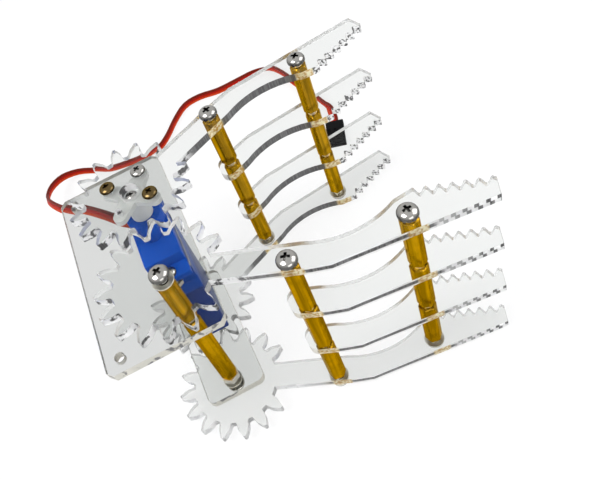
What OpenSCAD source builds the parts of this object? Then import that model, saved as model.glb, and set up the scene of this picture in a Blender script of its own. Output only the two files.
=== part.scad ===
// Electric two finger gripper: clear laser-cut plates on hex standoffs, geared
// together and driven by a small servo. X points along the fingers, Y across
// them towards the driven finger, and Z up. Sizes are in millimetres.

/* [Plates] */
// Thickness of every clear plate
plate_t = 3; // [2:0.5:5]
// Length of the standoffs between two finger plates
standoff_len = 20; // [15:1:30]
// Length of the base plate across the fingers
base_len = 73; // [68:1:90]
// Width of the base plate along the fingers
base_w = 38; // [34:1:48]
// Distance from the idler pivot to the near edge of the base plate
base_margin = 6; // [5:0.5:9]
// Distance from the pivot line to the front edge of the base plate
base_front = 10; // [8:0.5:12]
// Cut across each corner of the base plate
base_chamfer = 2; // [1:0.5:4]
// Width of the bar under the servo
bar_w = 20; // [17:0.5:22]
// Corner radius of the bar
bar_corner = 2.5; // [1:0.5:5]

/* [Gears] */
// Distance between the two finger pivots
pivot_gap = 34; // [32:0.5:38]
// Number of teeth that a full gear would have
gear_teeth = 16; // [14:2:20]
// Pressure angle of the teeth, in degrees
pressure_angle = 25; // [20:1:28]
// Clearance between meshing flanks
backlash = 0.5; // [0.3:0.1:0.8]
// Gap between a tooth tip and the root it enters
tip_gap = 0.4; // [0.3:0.1:0.8]

/* [Fingers] */
// Distance along the finger from its pivot to the inner standoffs
inner_x = 32; // [29:0.5:36]
// Distance along the finger from its pivot to the tip standoffs
outer_x = 65; // [60:0.5:72]
// Distance along the finger from its pivot to its tip
tip_x = 89.5; // [84:0.5:100]
// Width of the arm behind the bend
arm_w = 9; // [8:0.5:11]
// Width of the finger at the tip standoffs
finger_w = 11; // [9:0.5:13]
// Depth of the hollow in the inner edge
hollow = 3.4; // [2:0.2:5]
// Number of gripping teeth
grip_teeth = 6; // [4:1:8]
// Depth of a gripping tooth
grip_depth = 2; // [1:0.2:2.6]

/* [Fasteners] */
// Diameter of the main screws
screw_d = 3; // [2.5:0.5:3]
// Diameter of a main screw's domed head
head_d = 6; // [5.5:0.1:6.6]
// Height of a main screw's domed head
head_h = 2.4; // [1.8:0.1:2.6]
// Width across the flats of a standoff
hex_af = 5; // [4.8:0.1:5.5]
// Thickness of the nut on the idler pivot
nut_h = 2.4; // [2:0.1:3]
// Width across the flats of that nut
nut_af = 5.5; // [5:0.1:6]
// Thickness of a thin washer
washer_t = 0.5; // [0.3:0.1:0.8]
// Outer diameter of a thin washer
washer_d = 6.4; // [6:0.1:7]
// Diameter of the small screws in the horn and the servo tabs
small_d = 2; // [1.6:0.1:2.2]
// Diameter of a small screw's head
small_head_d = 4; // [3.6:0.1:4.4]
// Height of a small screw's head
small_head_h = 1.5; // [1.2:0.1:1.8]

/* [Mounting holes] */
// Diameter of the two mounting holes in the base plate
mount_d = 3.2; // [2.6:0.1:4.2]
// Distance from the rear edge to the mounting holes
mount_inset_x = 5; // [4:0.5:8]
// Distance from each end of the plate to its mounting hole
mount_inset_y = 5; // [4:0.5:8]

/* [Servo] */
// Length of the servo body
servo_l = 22.5; // [21.5:0.1:23.5]
// Width of the servo body
servo_w = 12.2; // [11.8:0.1:12.6]
// Height of the servo body
servo_h = 22.7; // [21.5:0.1:24]
// Length over the two mounting tabs
tab_l = 32.2; // [31:0.1:33]
// Thickness of a mounting tab
tab_t = 2.5; // [2:0.1:3]
// Height of the underside of the tabs above the bottom of the body
tab_z = 15.9; // [15:0.1:17]
// Distance between the screw holes in the tabs
tab_hole_gap = 27.8; // [27.4:0.1:28.4]
// Distance from the output shaft to the near end of the body
shaft_inset = 5.9; // [5.6:0.1:6.2]
// Height of the round gear tower on the body
tower_h = 4; // [3:0.1:5]
// Diameter of the output shaft
shaft_d = 4.8; // [4.4:0.1:5]
// Length of the output shaft above the tower
shaft_l = 3.2; // [2.8:0.1:3.6]
// Distance from the shaft to each screw hole of the horn
horn_r = 7.5; // [6.5:0.1:8]
// Thickness of the horn's arms
horn_t = 1.8; // [1.4:0.1:2.2]
// Direction of the first horn arm, in degrees
horn_angle = -40; // [-60:1:60]

/* [Cable] */
// Width of the three-wire ribbon
ribbon_w = 3.6; // [3:0.1:4.2]
// Thickness of the ribbon
ribbon_t = 1.2; // [1:0.1:1.4]
// Length of the connector
plug_l = 14; // [12:0.5:16]
// Width of the connector
plug_w = 7.6; // [7:0.1:8]
// Thickness of the connector
plug_t = 2.5; // [2.3:0.1:2.6]

/* [Hidden] */

$fn = 48;
pivot_clear = 0.05;   // radial clearance of a pivot bore round its screw
thread_clear = 0.02;  // radial clearance of a screw in its thread
hole_clear = 0.1;     // radial clearance of a screw in a plain hole
play = 0.3;           // end play of a finger between its screw heads
hex_turn = 0.25;      // height of the chamfer at the end of a hexagonal bar
screw_r = screw_d / 2;
small_r = small_d / 2;

// Levels, counted up from the table that the lowest screw heads stand on
pitch = standoff_len + plate_t;
function level(i) = head_h + washer_t + i * pitch;
top_z = level(3) + plate_t;
bar_z = level(0) + plate_t + play + washer_t;
bar_top = bar_z + plate_t;
base_top = level(3) - play - washer_t - standoff_len;
base_z = base_top - plate_t;
stud_l = 2 * plate_t;
shank_l = 8;

// Pivots and plate edges
pivot_y = pivot_gap / 2;
base_near = -pivot_y - base_margin;
base_far = base_near + base_len;
base_rear = base_front - base_w;
mount_x = base_rear + mount_inset_x;
mount_y = (base_near + base_far) / 2;
mount_half = base_len / 2 - mount_inset_y;

// Servo, hung by its tabs on the base plate with its shaft on the driven pivot
case_z = base_top - tab_z;
case_top = case_z + servo_h;
tower_top = case_top + tower_h;
servo_far = pivot_y + shaft_inset;
servo_near = servo_far - servo_l;
servo_mid = (servo_far + servo_near) / 2;
tower_d = 2 * shaft_inset - 0.2;
cover_h = 5.6;        // height of the bottom cover
exit_z = case_z + cover_h / 2;
boot_out = 1.6;       // how far the cable boot stands out of the case
case_screw_in = 1.3;  // distance from a case screw to the faces of the case
case_screw_r = 0.6;
case_edge = 0.5;      // chamfer on the upright edges of the case
idle_tower_r = 2.8;   // round tower over the servo's second gear
tab_slot = [3, 1.2];
seam = case_top - 6;  // height where the gear cover meets the middle case
horn_top = level(3);
hub_d = 7;
arm_tip_w = 4.2;
centre_hole_d = 6;
horn_screw_l = plate_t + horn_t + 1.2;
tab_screw_l = tab_t + plate_t + 3.5;
small_nut_af = 4;

// Gear teeth
pitch_r = pivot_gap / 2;
module_m = pivot_gap / gear_teeth;
tip_r = pitch_r + 1.08 * module_m;
root_r = pivot_gap - tip_r - tip_gap;
base_r = pitch_r * cos(pressure_angle);
half_tooth = 90 / gear_teeth - backlash / 4 / pitch_r * 180 / PI;
tooth_step = 360 / gear_teeth;
tip_round = 0.7;

// Finger outline in the finger's own frame: pivot at the origin, X along the
// finger and Y outwards, away from the other finger
inner_y = 14.5;
outer_y = 18.6;
bend_x = inner_x + 8;
slope_back = 0.44;       // slope of the arm behind the bend
slope_front = 0.105;     // slope of the outer edge past the bend
outer_bend_y = inner_y + 0.34 * arm_w + slope_back * (bend_x - inner_x);
inner_bend = [inner_x + 5.5, inner_y - 0.66 * arm_w + slope_back * 5.5];
hollow_end = [outer_x - 1, outer_y - 0.55 * finger_w];
grip_start = [outer_x + 5, outer_y - 0.6 * finger_w];
grip_end = [tip_x - 0.6, outer_y - 0.6 * finger_w + 8];
tip_out = [tip_x - 2, outer_bend_y + slope_front * (tip_x - 2 - bend_x)];
arm_end_x = inner_x - 4.5;
arm_end_r = 3;
back_angle = atan(slope_back);

// Cable: route of the middle of the ribbon, counted from the point midway
// between the pivots, from the servo to the connector
ROUTE = [[0, servo_far, exit_z], [0, servo_far + boot_out + 1.5, exit_z], [-2, 31, 38], [-6, 35, 37],
    [-11, 40, 36], [-17, 49, 34], [-24, 59, 31], [-31, 69, 26], [-37, 79, 21], [-42, 90, 16],
    [-44, 99, 11], [-42, 107, 8], [-37, 113, 5], [-30, 114, 3], [-23, 111, 2], [-16, 106, 2],
    [-8, 104, 2], [0, 103, 2], [8, 105, 2], [14, 110, 2], [20, 117, 2], [27, 123, 2], [35, 124, 2],
    [44, 122, 2], [54, 122, 2], [63, 122, 2], [70, 119, 2], [74, 111, 2], [77, 99, 2], [79.5, 90, 2],
    [81.5, 81.5, 2], [82, 79, 2], [82, 77, 1.5], [81.5, 74, 1.25], [80.5, 71.25, 1.25]];
plug_from = ROUTE[len(ROUTE) - 1];
plug_run = plug_from - ROUTE[len(ROUTE) - 2];
plug_angle = atan2(plug_run[1], plug_run[0]);

function polar(r, a) = [r * cos(a), r * sin(a)];

// The drawing's origin is midway between the pivots at table height, and the
// finished part's origin is the middle of the mounting holes on the base plate.
module place() translate([-mount_x, -mount_y, -base_top]) children();

module driven() translate([0, pivot_y, 0]) children();
module idler() translate([0, -pivot_y, 0]) mirror([0, 1, 0]) children();

// ---------------------------------------------------------------- outlines

// Half angle of a tooth at radius r, on an involute flank
function inv_deg(a) = tan(a) * 180 / PI - a;
function flank(r) = half_tooth + inv_deg(pressure_angle) - inv_deg(acos(min(1, base_r / r)));

function tooth(a) = let (low = flank(base_r), high = flank(tip_r - tip_round)) concat(
    [polar(root_r, a - low - 1.6), polar(root_r + 0.5, a - low - 0.3), polar(base_r, a - low)],
    [for (k = [1:3]) let (r = base_r + (tip_r - tip_round - base_r) * k / 3) polar(r, a - flank(r))],
    [polar(tip_r - 0.2, a - 0.72 * high), polar(tip_r, a - 0.35 * high)],
    [polar(tip_r, a + 0.35 * high), polar(tip_r - 0.2, a + 0.72 * high)],
    [for (k = [3:-1:1]) let (r = base_r + (tip_r - tip_round - base_r) * k / 3) polar(r, a + flank(r))],
    [polar(base_r, a + low), polar(root_r + 0.5, a + low + 0.3), polar(root_r, a + low + 1.6)]);

// The teeth that the arm runs into are left out
function arm_hides(a) = a > 5 && a < 40;
function gear_outline(phase) = [for (i = [0:gear_teeth - 1])
    let (a = phase + i * tooth_step, b = ((a + 180) % 360) - 180)
    each (arm_hides(b) ? [polar(root_r, a - 6), polar(root_r, a), polar(root_r, a + 6)] : tooth(a))];

// Gripping teeth: a wave cut into the straight stretch of the inner edge
wave_steps = 8;
function grip_edge() = let (n = grip_teeth * wave_steps, d = grip_end - grip_start,
    out = [-d[1], d[0]] / norm(d))
    [for (i = [n:-1:0]) grip_start + d * i / n + out * grip_depth * (1 - cos(360 * i / wave_steps)) / 2];

// Hollow of the inner edge: an arc between the bend and the tip standoffs
hollow_steps = 10;
function hollow_edge() = let (d = hollow_end - inner_bend, c = norm(d) / 2,
    r = (c * c + hollow * hollow) / 2 / hollow,
    out = [-d[1], d[0]] / norm(d), mid = (inner_bend + hollow_end) / 2 + out * (hollow - r), w = asin(c / r),
    a0 = atan2(out[1], out[0]))
    [for (i = [0:hollow_steps]) let (t = -w + 2 * w * i / hollow_steps) mid + polar(r, a0 + t)];

function outer_y_at(x) = outer_bend_y + (x < bend_x ? slope_back : slope_front) * (x - bend_x);
function inner_y_at(x) = inner_bend[1] - slope_back * (inner_bend[0] - x);

function front_outline() = concat(
    [[bend_x - 4, outer_y_at(bend_x - 4)], [bend_x + 1.5, outer_y_at(bend_x) + 0.2]],
    [[bend_x + 6, outer_y_at(bend_x + 6)]],
    [tip_out, [tip_x, grip_end[1] + 1]], grip_edge(), hollow_edge());

module gear_arm(z, phase) {
    plate(z) polygon(gear_outline(phase));
    plate(z) polygon(concat([[0, inner_y_at(0) * 0.2], [4, outer_y_at(4)]], front_outline(),
        [[root_r - 1, inner_y_at(root_r - 1)]]));
}

arc_steps = 6;
function arc(centre, r, from, to) = [for (k = [0:arc_steps])
    centre + polar(r, from + (to - from) * k / arc_steps)];

// Rounded rear end of a short arm plate, next to the inner standoff
function rear_end() = let (x = arm_end_x + arm_end_r, in = arm_end_r / cos(back_angle)) concat(
    arc([x, inner_y_at(x) + in], arm_end_r, back_angle - 90, -180),
    arc([x, outer_y_at(x) - in], arm_end_r, 180, back_angle + 90));

module arm_shape() polygon(concat(front_outline(), rear_end()));

module plate(z) translate([0, 0, z]) linear_extrude(plate_t) children();

// Rectangle with its corners cut back
module cut_rectangle(w, l, cut) polygon([[cut, 0], [w - cut, 0], [w, cut], [w, l - cut],
    [w - cut, l], [cut, l], [0, l - cut], [0, cut]]);

module hole(x, y, r, z, h = plate_t) translate([x, y, z - 1]) cylinder(r = r, h = h + 2);

module stack_holes(z) for (p = [[inner_x, inner_y], [outer_x, outer_y]])
    hole(p[0], p[1], screw_r + hole_clear, z);

// ---------------------------------------------------------------- hardware

module dome_head(hd, hh) intersection() {
    cylinder(d = hd, h = hh);
    translate([0, 0, hh - dome_r(hd, hh)]) sphere(r = dome_r(hd, hh), $fn = 64);
}
rim_h = 0.6;
function dome_r(hd, hh) = let (s = hh - rim_h) (hd * hd / 4 + s * s) / 2 / s;

// Cross slot, as shares of the head's diameter and height
slot_span = 0.56;
slot_width = 0.14;
slot_floor = 0.45;

// Pan head screw, its head seated at the origin and pointing up
module pan_screw(r, l, hd, hh) difference() {
    union() {
        dome_head(hd, hh);
        translate([0, 0, -l]) cylinder(r = r, h = l + rim_h);
    }
    for (a = [0, 90]) rotate(a) translate([-hd * slot_span / 2, -hd * slot_width / 2, hh * slot_floor])
        cube([hd * slot_span, hd * slot_width, hh]);
}

// Hexagonal bar whose ends are turned down to the flats
module hex_bar(af, h) intersection() {
    cylinder(d = af / cos(30), h = h, $fn = 6);
    union() {
        cylinder(d1 = af, d2 = af + 4 * hex_turn, h = hex_turn);
        translate([0, 0, hex_turn]) cylinder(d = af + 4 * hex_turn, h = h - 2 * hex_turn);
        translate([0, 0, h - hex_turn]) cylinder(d1 = af + 4 * hex_turn, d2 = af, h = hex_turn);
    }
}

// Standoff with a threaded hole at the top, and a stud or a second hole below
module standoff(l, stud, turn) rotate(turn) difference() {
    union() {
        hex_bar(hex_af, l);
        if (stud) translate([0, 0, -stud_l]) cylinder(r = screw_r - thread_clear, h = stud_l + 0.5);
    }
    translate([0, 0, l - shank_l - 1]) cylinder(r = screw_r, h = shank_l + 2);
    if (!stud) translate([0, 0, -1]) cylinder(r = screw_r, h = shank_l + 1);
}

module stack(x, y) translate([x, y, 0]) for (i = [0:2])
    translate([0, 0, level(i) + plate_t]) standoff(standoff_len, i > 0, 12 + 9 * i);

module finger_screws(top) for (p = [[inner_x, inner_y], [outer_x, outer_y]])
    translate([p[0], p[1], top ? top_z : level(0) - washer_t]) mirror([0, 0, top ? 0 : 1])
        pan_screw(screw_r - thread_clear, shank_l, head_d, head_h);

module washer(z) translate([0, 0, z]) difference() {
    cylinder(d = washer_d, h = washer_t);
    translate([0, 0, -1]) cylinder(r = screw_r + hole_clear, h = washer_t + 2);
}

module finger_washers() for (p = [[inner_x, inner_y], [outer_x, outer_y]])
    translate([p[0], p[1], 0]) washer(level(0) - washer_t);

// ---------------------------------------------------------------- base

slot_clear = 0.15;  // gap round the servo in its slot
module base_plate() color([0.9, 0.93, 0.95, 0.4]) difference() {
    plate(base_z) translate([base_rear, base_near]) cut_rectangle(base_w, base_len, base_chamfer);
    translate([-servo_w / 2 - slot_clear, servo_near - slot_clear, base_z - 1])
        cube([servo_w + 2 * slot_clear, servo_l + 2 * slot_clear, plate_t + 2]);
    hole(0, -pivot_y, screw_r + hole_clear, base_z);
    for (s = [-1, 1]) {
        hole(mount_x, mount_y + s * mount_half, mount_d / 2, base_z);
        hole(0, servo_mid + s * tab_hole_gap / 2, small_r + hole_clear, base_z);
    }
}

module lower_bar() color([0.9, 0.93, 0.95, 0.4]) difference() {
    plate(bar_z) hull() for (x = [-1, 1], y = [base_near + bar_corner, servo_far + 1.5 - bar_corner])
        translate([x * (bar_w / 2 - bar_corner), y]) circle(bar_corner);
    for (s = [-1, 1]) hole(0, s * pivot_y, screw_r + hole_clear, bar_z);
}

module servo_block(z, h) translate([-servo_w / 2, servo_near, z]) linear_extrude(h)
    cut_rectangle(servo_w, servo_l, case_edge);

// Block that stands on the bar and holds the far pivot screw
module servo_pedestal() color([0.16, 0.22, 0.5]) difference() {
    servo_block(bar_top, case_z - bar_top);
    translate([0, pivot_y, bar_top - 1]) cylinder(r = screw_r, h = shank_l + 5);
}

case_corner = [servo_w / 2 - case_screw_in, servo_l / 2 - case_screw_in];
module case_corners(r, z, h) for (x = [-1, 1], y = [-1, 1])
    translate([x * case_corner[0], servo_mid + y * case_corner[1], z]) cylinder(r = r, h = h);

module servo_case_bottom() color([0.1, 0.25, 0.75]) difference() {
    servo_block(case_z, cover_h);
    case_corners(case_screw_r + thread_clear, case_z - 1, cover_h + 2);
    boot_block(thread_clear, boot_out);
}

module servo_case_middle() color([0.1, 0.25, 0.75]) difference() {
    union() {
        servo_block(case_z + cover_h, seam - case_z - cover_h);
        translate([-servo_w / 2, servo_mid - tab_l / 2, base_top]) cube([servo_w, tab_l, tab_t]);
    }
    case_corners(case_screw_r + thread_clear, case_z, seam - case_z + 1);
    translate([-servo_w / 2 - 1, servo_mid - tab_l / 2 - 1, seam]) cube([servo_w + 2, tab_l + 2, case_top]);
    for (s = [-1, 1]) translate([0, servo_mid + s * tab_hole_gap / 2, base_top - 1]) {
        cylinder(r = small_r + hole_clear, h = tab_t + 2);
        translate([-tab_slot[1] / 2, s > 0 ? 0 : -tab_slot[0], 0])
            cube([tab_slot[1], tab_slot[0], tab_t + 2]);
    }
}

module servo_case_top() color([0.1, 0.25, 0.75]) difference() {
    union() {
        servo_block(seam, case_top - seam);
        translate([0, pivot_y, case_top - 1]) cylinder(d = tower_d, h = tower_h + 1);
        translate([0, pivot_y - tower_d / 2 - 0.6, case_top - 1]) cylinder(r = idle_tower_r, h = tower_h + 1);
    }
    case_corners(case_screw_r + thread_clear, seam - 1, 3);
    translate([0, pivot_y, case_top - 2]) cylinder(r = shaft_d / 2 + pivot_clear + 0.02, h = tower_h + 3);
}

module servo_case_screws() color("silver") for (x = [-1, 1], y = [-1, 1])
    translate([x * case_corner[0], servo_mid + y * case_corner[1], case_z + 0.4])
        cylinder(r = case_screw_r, h = seam + 1.5 - case_z);

module servo_mount_screws() color("silver") for (s = [-1, 1])
    translate([0, servo_mid + s * tab_hole_gap / 2, base_top + tab_t])
        pan_screw(small_r, tab_screw_l, small_head_d, small_head_h);

small_nut_h = 1.6;
module servo_mount_nuts() color("silver") for (s = [-1, 1])
    translate([0, servo_mid + s * tab_hole_gap / 2, base_z - small_nut_h]) difference() {
        hex_bar(small_nut_af, small_nut_h);
        translate([0, 0, -1]) cylinder(r = small_r + thread_clear, h = small_nut_h + 2);
    }

module upper_pivot_standoff() color("goldenrod") translate([0, -pivot_y, base_top])
    standoff(standoff_len, true, 15);

lower_standoff_z = bar_top + nut_h;
module lower_pivot_standoff() color("goldenrod") translate([0, -pivot_y, lower_standoff_z])
    standoff(base_z - lower_standoff_z, false, 15);

module upper_pivot_screw() color("silver") translate([0, -pivot_y, top_z + play])
    pan_screw(screw_r - thread_clear, shank_l + 2, head_d, head_h);

module lower_pivot_screw() color("silver") translate([0, -pivot_y, head_h]) mirror([0, 0, 1])
    pan_screw(screw_r - thread_clear, shank_l + 7, head_d, head_h);

module driven_pivot_screw() color("silver") translate([0, pivot_y, head_h]) mirror([0, 0, 1])
    pan_screw(screw_r - thread_clear, shank_l + 5, head_d, head_h);

module lower_pivot_nut() color("silver") translate([0, -pivot_y, bar_top]) difference() {
    hex_bar(nut_af, nut_h);
    translate([0, 0, -1]) cylinder(r = screw_r, h = nut_h + 2);
}

module pivot_washers() color("silver") {
    for (s = [-1, 1]) translate([0, s * pivot_y, 0]) washer(bar_z - washer_t);
    translate([0, -pivot_y, 0]) washer(level(3) - play - washer_t);
}

// ---------------------------------------------------------------- cable

boot_wall = 0.4;
boot_in = 2.8;
module boot_block(grow, out) translate([-ribbon_w / 2 - boot_wall - grow, servo_far - boot_in - grow,
    exit_z - ribbon_t / 2 - boot_wall - grow])
    cube([ribbon_w + 2 * (boot_wall + grow), boot_in + out + grow, ribbon_t + 2 * (boot_wall + grow)]);

module cable_boot() color("black") difference() {
    boot_block(0, boot_out);
    translate([-ribbon_w / 2 - thread_clear, servo_far, exit_z - ribbon_t / 2 - thread_clear])
        cube([ribbon_w + 2 * thread_clear, boot_out + 1, ribbon_t + 2 * thread_clear]);
}

ribbon_sides = 8;
lean_rings = 11;  // rings over which the ribbon turns from flat, at the servo, to standing on edge
flat_rings = 4;   // rings before the connector over which it turns flat again
function bow(v) = sign(v) * pow(abs(v), 0.35);
function share(v) = max(0, min(1, v));
function roll_at(i) = -90 * share(1 - (i - 1) / lean_rings)
    + 90 * share((i - len(ROUTE) + 1 + flat_rings) / (flat_rings - 1));
function ring(i) = let (a = ROUTE[max(0, i - 1)], b = ROUTE[min(len(ROUTE) - 1, i + 1)],
    t = (b - a) / norm(b - a),
    side = cross(t, [0, 0, 1]) / norm(cross(t, [0, 0, 1])), up = cross(side, t), roll = roll_at(i),
    thin = side * cos(roll) + up * sin(roll), wide = up * cos(roll) - side * sin(roll))
    [for (k = [0:ribbon_sides - 1]) let (c = 360 * (k + 0.5) / ribbon_sides)
        ROUTE[i] + thin * bow(cos(c)) * ribbon_t / 2 + wide * bow(sin(c)) * ribbon_w / 2];

// The strip between two rings twists, so each of its sides is two triangles
function strip(i) = [for (k = [0:ribbon_sides - 1])
    let (n = (k + 1) % ribbon_sides, a = i * ribbon_sides, b = a + ribbon_sides)
    each [[a + k, b + k, b + n], [a + k, b + n, a + n]]];
module servo_cable() color("firebrick") polyhedron(
    points = [for (i = [0:len(ROUTE) - 1]) each ring(i)],
    faces = concat([[for (k = [0:ribbon_sides - 1]) k]],
        [for (i = [0:len(ROUTE) - 2]) each strip(i)],
        [[for (k = [ribbon_sides - 1:-1:0]) (len(ROUTE) - 1) * ribbon_sides + k]]));

pin_gap = 2.54;        // distance between the three contacts
module at_plug() translate([plug_from[0], plug_from[1], 0]) rotate(plug_angle) children();
socket_l = 9;          // depth of the sockets that the pins enter
contact_w = 1;         // width and height of a contact
contact_wall = 0.2;
contact_clear = 0.05;  // gap round a contact in its socket
socket_w = contact_w + 2 * contact_clear;
window_x = 1.5;        // windows over the crimped ends, near the cable
window_l = 2.6;
window_depth = 0.5;
groove_x = plug_l - 3.4;
groove_w = 0.8;        // grooves in the two edges, to grip it by
groove_depth = 0.3;
module at_pins() for (i = [-1:1]) translate([0, i * pin_gap, 0]) children();
module cable_connector() color("black") at_plug() difference() {
    translate([0, -plug_w / 2, 0]) cube([plug_l, plug_w, plug_t]);
    at_pins() translate([plug_l - socket_l, -socket_w / 2, (plug_t - socket_w) / 2])
        cube([socket_l + 1, socket_w, socket_w]);
    at_pins() translate([window_x, -contact_w / 2, plug_t - window_depth])
        cube([window_l, contact_w, plug_t]);
    for (s = [-1, 1]) translate([groove_x, s * plug_w / 2 - groove_depth, -1])
        cube([groove_w, 2 * groove_depth, plug_t + 2]);
}
module connector_contacts() color("goldenrod") at_plug() at_pins()
    translate([plug_l - socket_l, -contact_w / 2, (plug_t - contact_w) / 2]) difference() {
        cube([socket_l - window_x, contact_w, contact_w]);
        translate([4 * contact_wall, contact_wall, contact_wall])
            cube([socket_l, contact_w - 2 * contact_wall, contact_w - 2 * contact_wall]);
    }

// ---------------------------------------------------------------- servo output

module servo_output_shaft() color("white") driven() difference() {
    translate([0, 0, case_top - 1.5]) cylinder(d = shaft_d, h = tower_h + shaft_l + 1.5);
    translate([0, 0, tower_top - 1]) cylinder(r = small_r + thread_clear, h = shaft_l + 2);
}

horn_z = tower_top + 0.4;
module servo_horn() color("white") driven() rotate(horn_angle) difference() {
    union() {
        translate([0, 0, horn_z]) cylinder(d = hub_d, h = horn_top - horn_z);
        for (a = [0:90:270]) rotate(a) translate([0, 0, horn_top - horn_t]) linear_extrude(horn_t) hull() {
            circle(d = hub_d - 1);
            translate([horn_r + 0.6, 0]) circle(d = arm_tip_w);
        }
    }
    translate([0, 0, horn_z - 1])
        cylinder(r = shaft_d / 2 + thread_clear, h = tower_top + shaft_l - horn_z + 1 + thread_clear);
    translate([0, 0, horn_z]) cylinder(r = small_r + hole_clear, h = horn_top);
    for (a = [0:90:270]) rotate(a) translate([horn_r, 0, horn_top - horn_t - 1])
        cylinder(r = small_r + thread_clear, h = horn_t + 2);
}

module horn_screw(a) driven() rotate(horn_angle + a) translate([horn_r, 0, top_z])
    pan_screw(small_r, horn_screw_l, small_head_d, small_head_h);
module horn_brass_screws() color("goldenrod") for (a = [0, 180]) horn_screw(a);
module horn_steel_screw() color("silver") horn_screw(90);
module horn_centre_screw() color("silver") driven() translate([0, 0, horn_top])
    pan_screw(small_r, horn_top - tower_top - shaft_l + 2.5, small_head_d, small_head_h);

// ---------------------------------------------------------------- fingers

module clear_plastic() color([0.9, 0.93, 0.95, 0.4]) children();

pivot_bore_r = screw_r - thread_clear + pivot_clear;
driven_phase = -90;
idler_phase = -90 + tooth_step / 2;

module gear_plate(z, phase, bore_r) difference() {
    gear_arm(z, phase);
    hole(0, 0, bore_r, z);
    stack_holes(z);
}
module arm_plate(z) difference() {
    plate(z) arm_shape();
    stack_holes(z);
}

module driven_top_gear_plate() clear_plastic() driven() difference() {
    gear_plate(level(3), driven_phase, centre_hole_d / 2);
    for (a = [0:90:270]) rotate(horn_angle + a) hole(horn_r, 0, small_r + hole_clear, level(3));
}
module driven_upper_arm_plate() clear_plastic() driven() arm_plate(level(2));
module driven_lower_arm_plate() clear_plastic() driven() arm_plate(level(1));
module driven_bottom_gear_plate() clear_plastic() driven() gear_plate(level(0), driven_phase, pivot_bore_r);
module driven_inner_standoffs() color("goldenrod") driven() stack(inner_x, inner_y);
module driven_tip_standoffs() color("goldenrod") driven() stack(outer_x, outer_y);
module driven_top_screws() color("silver") driven() finger_screws(true);
module driven_bottom_screws() color("silver") driven() finger_screws(false);
module driven_washers() color("silver") driven() finger_washers();

module idler_top_gear_plate() clear_plastic() idler() gear_plate(level(3), idler_phase, pivot_bore_r);
module idler_upper_arm_plate() clear_plastic() idler() arm_plate(level(2));
module idler_lower_arm_plate() clear_plastic() idler() arm_plate(level(1));
module idler_bottom_gear_plate() clear_plastic() idler() gear_plate(level(0), idler_phase, pivot_bore_r);
module idler_inner_standoffs() color("goldenrod") idler() stack(inner_x, inner_y);
module idler_tip_standoffs() color("goldenrod") idler() stack(outer_x, outer_y);
module idler_top_screws() color("silver") idler() finger_screws(true);
module idler_bottom_screws() color("silver") idler() finger_screws(false);
module idler_washers() color("silver") idler() finger_washers();

place() base_plate();
place() lower_bar();
place() servo_pedestal();
place() servo_case_bottom();
place() servo_case_middle();
place() servo_case_top();
place() servo_case_screws();
place() servo_mount_screws();
place() servo_mount_nuts();
place() servo_output_shaft();
place() servo_horn();
place() horn_brass_screws();
place() horn_steel_screw();
place() horn_centre_screw();
place() cable_boot();
place() servo_cable();
place() cable_connector();
place() connector_contacts();
place() upper_pivot_standoff();
place() lower_pivot_standoff();
place() upper_pivot_screw();
place() lower_pivot_screw();
place() lower_pivot_nut();
place() pivot_washers();
place() driven_pivot_screw();
place() driven_top_gear_plate();
place() driven_upper_arm_plate();
place() driven_lower_arm_plate();
place() driven_bottom_gear_plate();
place() driven_inner_standoffs();
place() driven_tip_standoffs();
place() driven_top_screws();
place() driven_bottom_screws();
place() driven_washers();
place() idler_top_gear_plate();
place() idler_upper_arm_plate();
place() idler_lower_arm_plate();
place() idler_bottom_gear_plate();
place() idler_inner_standoffs();
place() idler_tip_standoffs();
place() idler_top_screws();
place() idler_bottom_screws();
place() idler_washers();
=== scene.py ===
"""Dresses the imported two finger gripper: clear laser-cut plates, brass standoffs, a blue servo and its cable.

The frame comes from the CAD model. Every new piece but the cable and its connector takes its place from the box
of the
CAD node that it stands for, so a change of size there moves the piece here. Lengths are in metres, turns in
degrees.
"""

import math

import bmesh
import bpy
from mathutils import Matrix, Quaternion, Vector


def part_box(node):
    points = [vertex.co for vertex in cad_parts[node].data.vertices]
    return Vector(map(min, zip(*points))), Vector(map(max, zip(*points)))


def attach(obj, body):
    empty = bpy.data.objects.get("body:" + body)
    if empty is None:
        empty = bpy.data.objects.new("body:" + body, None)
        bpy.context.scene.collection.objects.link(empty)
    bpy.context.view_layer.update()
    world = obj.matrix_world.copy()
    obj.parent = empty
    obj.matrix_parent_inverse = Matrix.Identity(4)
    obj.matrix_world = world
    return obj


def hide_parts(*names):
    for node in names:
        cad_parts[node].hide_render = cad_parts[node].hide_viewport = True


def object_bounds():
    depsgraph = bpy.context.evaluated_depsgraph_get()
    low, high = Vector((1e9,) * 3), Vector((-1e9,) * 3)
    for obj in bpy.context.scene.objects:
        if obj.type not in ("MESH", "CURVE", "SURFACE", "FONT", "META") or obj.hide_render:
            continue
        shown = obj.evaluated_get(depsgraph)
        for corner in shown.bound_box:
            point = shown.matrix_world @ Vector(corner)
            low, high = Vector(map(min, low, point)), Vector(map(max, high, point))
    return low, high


bl_info = {
    "name": "Two Finger Gripper",
    "version": (1, 0, 0),
    "blender": (4, 5, 0),
    "location": "View3D > Sidebar > Gripper",
    "description": "Builds the finished pieces and materials of a servo gripper on its CAD frame",
    "category": "Object",
}

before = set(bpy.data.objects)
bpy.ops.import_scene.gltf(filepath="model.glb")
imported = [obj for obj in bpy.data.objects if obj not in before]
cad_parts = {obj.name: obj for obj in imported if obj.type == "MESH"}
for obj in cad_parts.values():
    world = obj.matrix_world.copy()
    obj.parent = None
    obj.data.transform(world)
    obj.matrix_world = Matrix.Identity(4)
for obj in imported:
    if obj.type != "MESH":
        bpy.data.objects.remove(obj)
CAD_BOX = [list(corner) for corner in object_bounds()]

# The point midway between the finger pivots, at table height
PIVOTS = Vector((0.023, -0.0135, -0.0511))

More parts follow.
